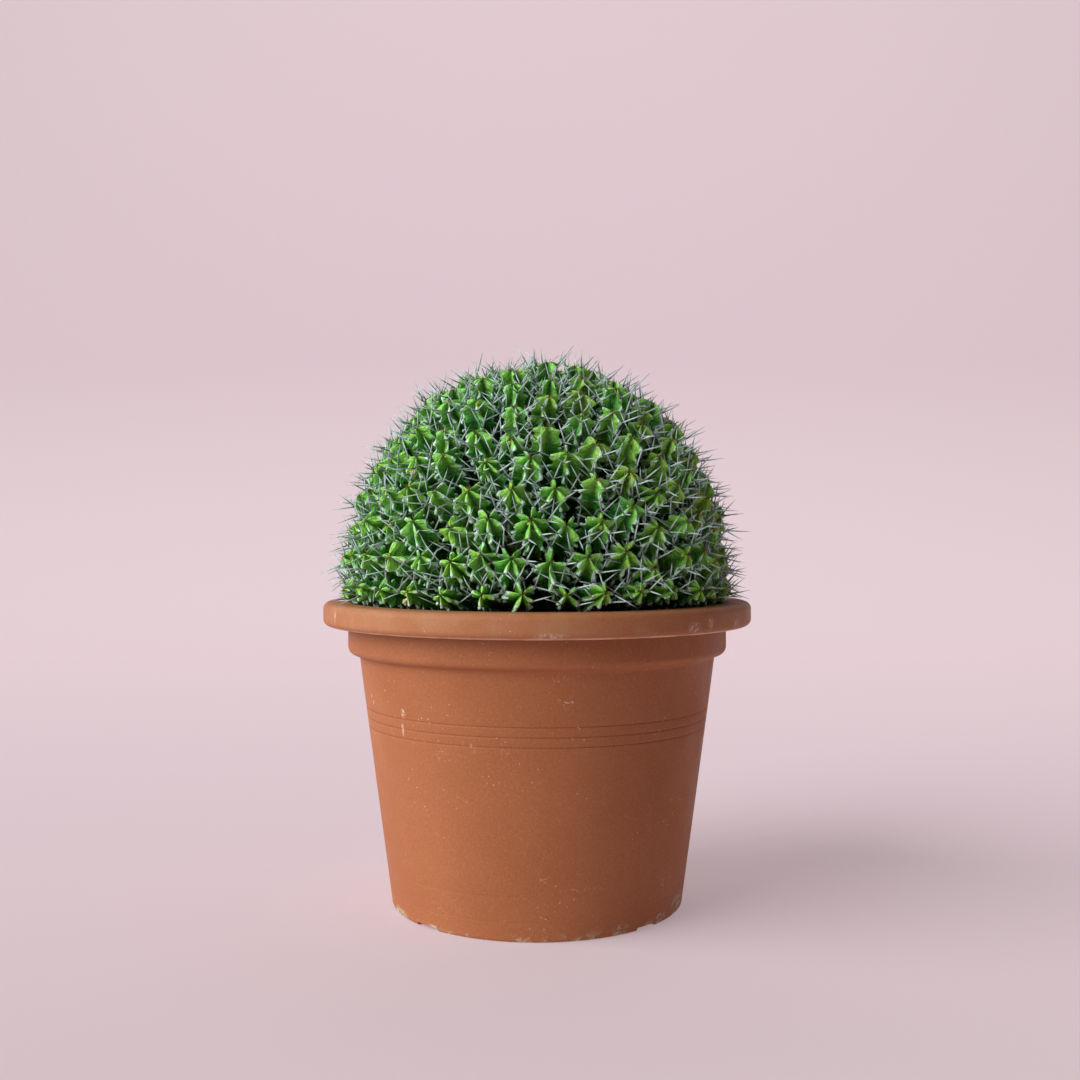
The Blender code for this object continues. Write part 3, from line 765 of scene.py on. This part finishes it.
def add_spine(surface, foot, way, length, radius, shade, grown, rng):
    """One spine: a slender cone that keeps most of its thickness and bends very slightly."""
    first, second = across_axes(way)
    turn = math.tau * np.arange(SPINE_SIDES) / SPINE_SIDES
    ring = np.outer(np.cos(turn), first) + np.outer(np.sin(turn), second)
    bend = first * rng.uniform(-0.04, 0.04) * length
    rings = [foot + ring * radius, foot + way * length * 0.5 + bend + ring * radius * 0.8]
    end = (foot + way * length + bend * 0.4)[None, :]
    points = np.concatenate(rings + [end])
    along = np.concatenate((np.zeros(SPINE_SIDES), np.full(SPINE_SIDES, 0.5), np.ones(1)))
    looks = (along, np.full_like(along, shade), np.full_like(along, grown), np.ones_like(along))
    values = np.stack(looks, -1)
    here = np.arange(SPINE_SIDES)
    after = (here + 1) % SPINE_SIDES
    walls = np.stack((here, after, SPINE_SIDES + after, SPINE_SIDES + here), -1)
    point = np.stack((SPINE_SIDES + here, SPINE_SIDES + after, np.full(SPINE_SIDES, 2 * SPINE_SIDES)), -1)
    surface.add(points, values, [walls, point, here[::-1][None, :]])


def stalk_shell(branch):
    """The basal stalk: a woody tube that rises from the mix, flares and turns to face outward."""
    sides, rows = 18, 9
    turn = math.tau * np.arange(sides) / sides
    share = np.linspace(0.0, 1.0, rows)
    start = branch["stand"] - np.array((0.0, 0.0, 0.6 * MM))
    fork, outward = branch["fork"], branch["outward"]
    spread = float(np.linalg.norm(branch["roots"] - fork, axis=1).max())
    points = []
    for part in share[::-1]:
        lean = Vector((0.0, 0.0, 1.0)).rotation_difference(Vector(outward)).to_matrix()
        tilt = Matrix.Identity(3).lerp(lean, float(part * part))
        radius = 5.0 * MM + (spread + 0.6 * MM) * part ** 3
        wobble = 1.0 + 0.08 * np.sin(3.0 * turn + 9.0 * part)
        ring = np.stack((np.cos(turn), np.sin(turn), np.zeros(sides)), -1) * (radius * wobble)[:, None]
        middle = start + (fork - start) * part
        points.append(middle + ring @ np.array(tilt).T)
    spot = np.concatenate(points)
    # Depth 1 paints the stalk in the near-black painted shade of the deep mound.
    value = np.tile(np.array((0.0, 1.0, 0.5, 0.5)), (len(spot), 1))
    ring = np.arange(sides)
    top = ring[None, :]
    bottom = ((rows - 1) * sides + ring)[::-1][None, :]
    return spot, value, [lofted_faces(rows, sides), top, bottom]


def add_blob(surface, centre, radius, stretch, crumple, rng):
    """A small rounded lump; crumple roughens it into a dry remnant."""
    ball = bmesh.new()
    bmesh.ops.create_icosphere(ball, subdivisions=3, radius=1.0)
    spots = np.array([vertex.co[:] for vertex in ball.verts])
    faces = np.array([[vertex.index for vertex in face.verts] for face in ball.faces])
    ball.free()
    shift = rng.uniform(-50.0, 50.0, 3)
    swell = np.array([noise.noise(Vector(spot * 1.7 + shift)) for spot in spots])
    fold = np.array([noise.noise(Vector(spot * 4.5 + shift)) for spot in spots])
    size = 1.0 + crumple * swell + crumple * 0.6 * fold
    points = centre + spots * size[:, None] * radius * np.array(stretch)
    surface.add(points, np.ones((len(points), 4)), [faces])


def make_plant():
    """Every branch as two pieces, its skin and its spines; gives back the heads."""
    skin, horn = skin_material(), spine_material()
    rng = np.random.default_rng(SEED)
    heads = []
    for node, branch in zip(BRANCH_NODES, branch_layout()):
        body, spines = Surface(), Surface()
        body.add(*stalk_shell(branch))
        for tip, root in zip(branch["tips"], branch["roots"]):
            head = Head(tip, root, rng)
            body.add(*head.shell())
            head.spines(rng, spines)
            heads.append(head)
        finish_piece(f"{node}_stems", body.mesh(node, "skin"), skin, [node])
        finish_piece(f"{node}_spines", spines.mesh(node, "spine"), horn)
    return heads


def make_buds_and_flowers(heads):
    """Young growth in the heart of some heads, and a few dried flowers caught between the ribs."""
    rng = np.random.default_rng(SEED + 2)
    buds, flowers = Surface(), Surface()
    for head in heads:
        for _ in range(int(rng.choice((0, 0, 1, 1, 2)))):
            angle = rng.uniform(0.0, math.tau)
            outward = math.cos(angle) * head.first + math.sin(angle) * head.second
            depth = rng.uniform(1.2, 3.4) * MM
            centre = head.centre(np.array((depth,)))[0] + outward * depth * 0.8
            add_blob(buds, centre, rng.uniform(1.0, 1.7) * MM, (1.0, 1.0, 1.0), 0.3, rng)
        if rng.uniform() < 0.09:
            rib = int(rng.integers(head.ribs))
            angle = head.angles[rib] + head.half_after[rib]
            outward = math.cos(angle) * head.first + math.sin(angle) * head.second
            centre = head.centre(np.array((6.5 * MM,)))[0] + outward * 7.5 * MM
            add_blob(flowers, centre, rng.uniform(1.8, 2.9) * MM, (1.0, 1.0, 0.8), 1.1, rng)
    finish_piece("young_growth", buds.mesh("young_growth", "lump"), bud_material())
    finish_piece("dried_flowers", flowers.mesh("dried_flowers", "lump"), petal_material())


def body_radius(height):
    """Outer radius of the pot's tapering wall."""
    share = (height / MM - FOOT_HEIGHT) / (SHOULDER_HEIGHT - FOOT_HEIGHT)
    return (FOOT_RADIUS + share * (SHOULDER_RADIUS - FOOT_RADIUS)) * MM


def arc(centre, radius, start, end, steps):
    """Points on a round corner, from one angle to another in degrees."""
    turn = np.radians(np.linspace(start, end, steps))
    return [(centre[0] + radius * math.cos(a), centre[1] + radius * math.sin(a)) for a in turn]


def pot_profile():
    """The pot's section as (radius, height), from the middle of its floor, over the lip, to its foot."""
    wall, top = WALL * MM, POT_HEIGHT
    bore = (COLLAR_RADIUS - WALL) * MM
    points = [(0.0, 9.0 * MM), (60.0 * MM, 9.0 * MM)]
    points += arc((body_radius(12 * MM) - wall - 3.0 * MM, 12.0 * MM), 3.0 * MM, -90, -7, 6)
    points += [(body_radius(height * MM) - wall, height * MM) for height in (90.0, SHOULDER_HEIGHT)]
    points += [(123.6 * MM, 175.6 * MM), (bore - 0.6 * MM, 181.6 * MM), (bore, 183.4 * MM)]
    points += arc((bore + 2.2 * MM, top - 2.2 * MM), 2.2 * MM, 180, 90, 6)
    points += [(139.0 * MM, top)]
    points += arc((RIM_RADIUS - 4.6 * MM, top - 4.6 * MM), 4.6 * MM, 88, 0, 9)
    points += arc((RIM_RADIUS - 4.4 * MM, top - 11.6 * MM), 4.4 * MM, 0, -76, 8)
    points += [(146.1 * MM, top - 16.0 * MM), (145.9 * MM, top - 15.6 * MM), (146.3 * MM, top - 12.6 * MM)]
    points += [(147.2 * MM, top - 10.0 * MM), (147.3 * MM, top - 5.0 * MM)]
    points += arc((145.0 * MM, top - 4.9 * MM), 2.3 * MM, 10, 90, 4)
    points += arc((134.6 * MM, top - 4.2 * MM), 1.7 * MM, 90, 180, 5)
    points += [(COLLAR_RADIUS * MM, 190.0 * MM)]
    points += arc((127.9 * MM, 180.4 * MM), 5.0 * MM, 0, -78, 9)
    points += [(127.2 * MM, 174.9 * MM)]
    points += [(125.9 * MM, 174.3 * MM), (125.1 * MM, 173.4 * MM), (124.7 * MM, 172.0 * MM)]
    for height, depth in [(level, 0.32) for level in RING_HEIGHTS] + [(29.7, 0.1), (12.9, 0.1)]:
        for offset, share in RING_GROOVE:
            level = (height + offset) * MM
            points.append((body_radius(level) - depth * share * MM, level))
    points += [(body_radius(5 * MM), 5.0 * MM)]
    points += arc((body_radius(2.2 * MM) - 2.2 * MM, 2.2 * MM), 2.2 * MM, 5, -90, 7)
    points += [(96.6 * MM, 0.0), (96.2 * MM, 0.4 * MM), (96.2 * MM, 6.0 * MM), (0.0, 6.0 * MM)]
    return points


def make_pot():
    """The pot as a fine turned shell, with its drainage notches and holes cut through."""
    mesh = bpy.data.meshes.new("pot_shell")
    profile = pot_profile()
    mesh.from_pydata([(r, 0.0, z) for r, z in profile], [(i, i + 1) for i in range(len(profile) - 1)], [])
    shell = bpy.data.objects.new("pot_shell", mesh)
    bpy.context.scene.collection.objects.link(shell)
    screw = shell.modifiers.new("turn", "SCREW")
    screw.steps = screw.render_steps = 240
    screw.use_merge_vertices = True
    screw.merge_threshold = 0.00001
    cutters = []
    for index in range(NOTCHES):
        angle = math.tau * (index + 0.5) / NOTCHES
        for kind in ("notch", "drain"):
            tool = bmesh.new()
            if kind == "notch":
                bmesh.ops.create_cube(tool, size=1.0)
                bmesh.ops.scale(tool, vec=(30.0 * MM, 19.0 * MM, 4.6 * MM), verts=tool.verts)
                reach = FOOT_RADIUS * MM
            else:
                bmesh.ops.create_cone(tool, cap_ends=True, segments=40, radius1=5.5 * MM,
                                      radius2=5.5 * MM, depth=40.0 * MM)
                reach = 68.0 * MM
            data = bpy.data.meshes.new(kind)
            tool.to_mesh(data)
            tool.free()
            cutter = bpy.data.objects.new(kind, data)
            cutter.location = (reach * math.cos(angle), reach * math.sin(angle), 0.0)
            cutter.rotation_euler.z = angle
            bpy.context.scene.collection.objects.link(cutter)
            cutters.append(cutter)
            cut = shell.modifiers.new(kind, "BOOLEAN")
            cut.operation = "DIFFERENCE"
            cut.solver = "EXACT"
            cut.object = cutter
    bpy.context.view_layer.update()
    data = bpy.data.meshes.new_from_object(shell.evaluated_get(bpy.context.evaluated_depsgraph_get()))
    for item in cutters + [shell]:
        bpy.data.objects.remove(item, do_unlink=True)
    data.shade_smooth()
    data.set_sharp_from_angle(angle=math.radians(50.0))
    finish_piece("pot_shell", data, pot_material(), ["pot"])


def make_soil():
    """The potting mix, lumpy on top and smooth against the pot, with stones and crumbs on it."""
    sides, rings = 180, 60
    bore = (SOIL_HIGH[0] - SOIL_LOW[0]) / 2.0
    turn = math.tau * np.arange(sides) / sides
    edge = [(bore, SOIL_TOP - 3.0 * MM), (bore, 182.8 * MM), (121.7 * MM, 170.5 * MM),
            (100.4 * MM, 12.3 * MM), (97.3 * MM, 9.4 * MM)]
    points = []
    for step in range(1, rings + 1):
        radius = bore * (step / rings)
        for angle in turn:
            spot = Vector((radius * math.cos(angle), radius * math.sin(angle), 0.0))
            lump = noise.fractal(spot * 55.0, 0.9, 2.1, 4)
            grain = noise.noise(spot * 420.0)
            fade = min(1.0, (bore - radius) / (4.0 * MM))
            points.append((spot.x, spot.y, SOIL_TOP - 0.6 * MM + (lump * 1.5 + grain * 0.6) * MM * fade))
    for radius, height in edge:
        for angle in turn:
            points.append((radius * math.cos(angle), radius * math.sin(angle), height))
    rows = rings + len(edge)
    spot = np.array(points + [(0.0, 0.0, SOIL_TOP - 0.4 * MM)])
    ring = np.arange(sides)
    heart = np.stack((ring, (ring + 1) % sides, np.full(sides, rows * sides)), -1)
    base = ((rows - 1) * sides + ring)[::-1][None, :]
    soil = Surface()
    soil.add(spot, np.ones((len(spot), 4)), [lofted_faces(rows, sides), heart, base])
    finish_piece("potting_mix", soil.mesh("potting_mix", "lump"), soil_material(), ["soil"])
    rng = np.random.default_rng(SEED + 3)
    grit = Surface()
    for _ in range(GRIT_STONES):
        radius, angle = bore * 0.985 * math.sqrt(rng.uniform(0.25, 1.0)), rng.uniform(0.0, math.tau)
        size = rng.uniform(0.7, 2.2) * MM
        centre = np.array((radius * math.cos(angle), radius * math.sin(angle), SOIL_TOP + size * 0.2))
        if math.hypot(centre[0], centre[1]) + size < bore:
            add_blob(grit, centre, size, (1.0, rng.uniform(0.7, 1.2), rng.uniform(0.5, 0.9)), 0.35, rng)
    finish_piece("grit", grit.mesh("grit", "lump"), grit_material())


def make_stage():
    """A plain pale floor that sweeps up into a backdrop, soft light from the left, and the camera.

    Lengths here are metres. The floor gives off a little light of its own, which softens its shadows.
    """
    mesh = bpy.data.meshes.new("floor")
    front, back, half_width, rise, bend = -9.0, 2.4, 9.0, 4.0, 0.7
    corner = [(back - bend + bend * math.sin(turn), bend - bend * math.cos(turn))
              for turn in np.linspace(0.0, math.pi / 2.0, 24)]
    line = [(front, 0.0)] + corner + [(back, rise)]
    points = [(side * half_width, y, z) for y, z in line for side in (-1.0, 1.0)]
    faces = [(2 * i, 2 * i + 1, 2 * i + 3, 2 * i + 2) for i in range(len(line) - 1)]
    mesh.from_pydata(points, [], faces)
    mesh.shade_smooth()
    floor = bpy.data.objects.new("floor", mesh)
    bpy.context.scene.collection.objects.link(floor)
    material, _, shader = new_material("pale_paper")
    shader.inputs["Base Color"].default_value = (0.42, 0.337, 0.363, 1.0)
    shader.inputs["Roughness"].default_value = 0.85
    shader.inputs["Emission Color"].default_value = (0.78, 0.64, 0.68, 1.0)
    shader.inputs["Emission Strength"].default_value = 0.4
    mesh.materials.append(material)

    world = bpy.data.worlds.new("studio")
    world.use_nodes = True
    background = world.node_tree.nodes["Background"]
    background.inputs["Color"].default_value = (1.0, 0.98, 0.95, 1.0)
    background.inputs["Strength"].default_value = 0.045
    bpy.context.scene.world = world

    sun = bpy.data.lights.new("key", "SUN")
    sun.energy = 3.8
    sun.angle = math.radians(56.0)
    sun.color = (0.98, 1.0, 0.99)
    key = bpy.data.objects.new("key", sun)
    key.rotation_euler = Vector((0.8, 0.36, -0.5)).to_track_quat("-Z", "Y").to_euler()
    bpy.context.scene.collection.objects.link(key)

    lamp = bpy.data.lights.new("backdrop_light", "AREA")
    lamp.shape = "RECTANGLE"
    lamp.size = 3.0
    lamp.size_y = 0.5
    lamp.energy = 12.0
    wash = bpy.data.objects.new("backdrop_light", lamp)
    wash.location = (0.0, 0.9, 2.2)
    wash.rotation_euler = Vector((0.0, 1.4, -1.3)).to_track_quat("-Z", "Y").to_euler()
    bpy.context.scene.collection.objects.link(wash)

    camera = bpy.data.cameras.new("camera")
    camera.lens = 42.2
    camera.sensor_width = 36.0
    item = bpy.data.objects.new("camera", camera)
    item.location = (2.0 * MM, -6.0 * RIM_RADIUS, POT_HEIGHT + 0.335 * RIM_RADIUS)
    item.rotation_euler = (math.radians(90.0 - 0.489), 0.0, 0.0)
    bpy.context.scene.collection.objects.link(item)
    bpy.context.scene.camera = item
    bpy.context.scene.view_settings.view_transform = "Standard"


make_stage()
make_pot()
make_soil()
make_buds_and_flowers(make_plant())
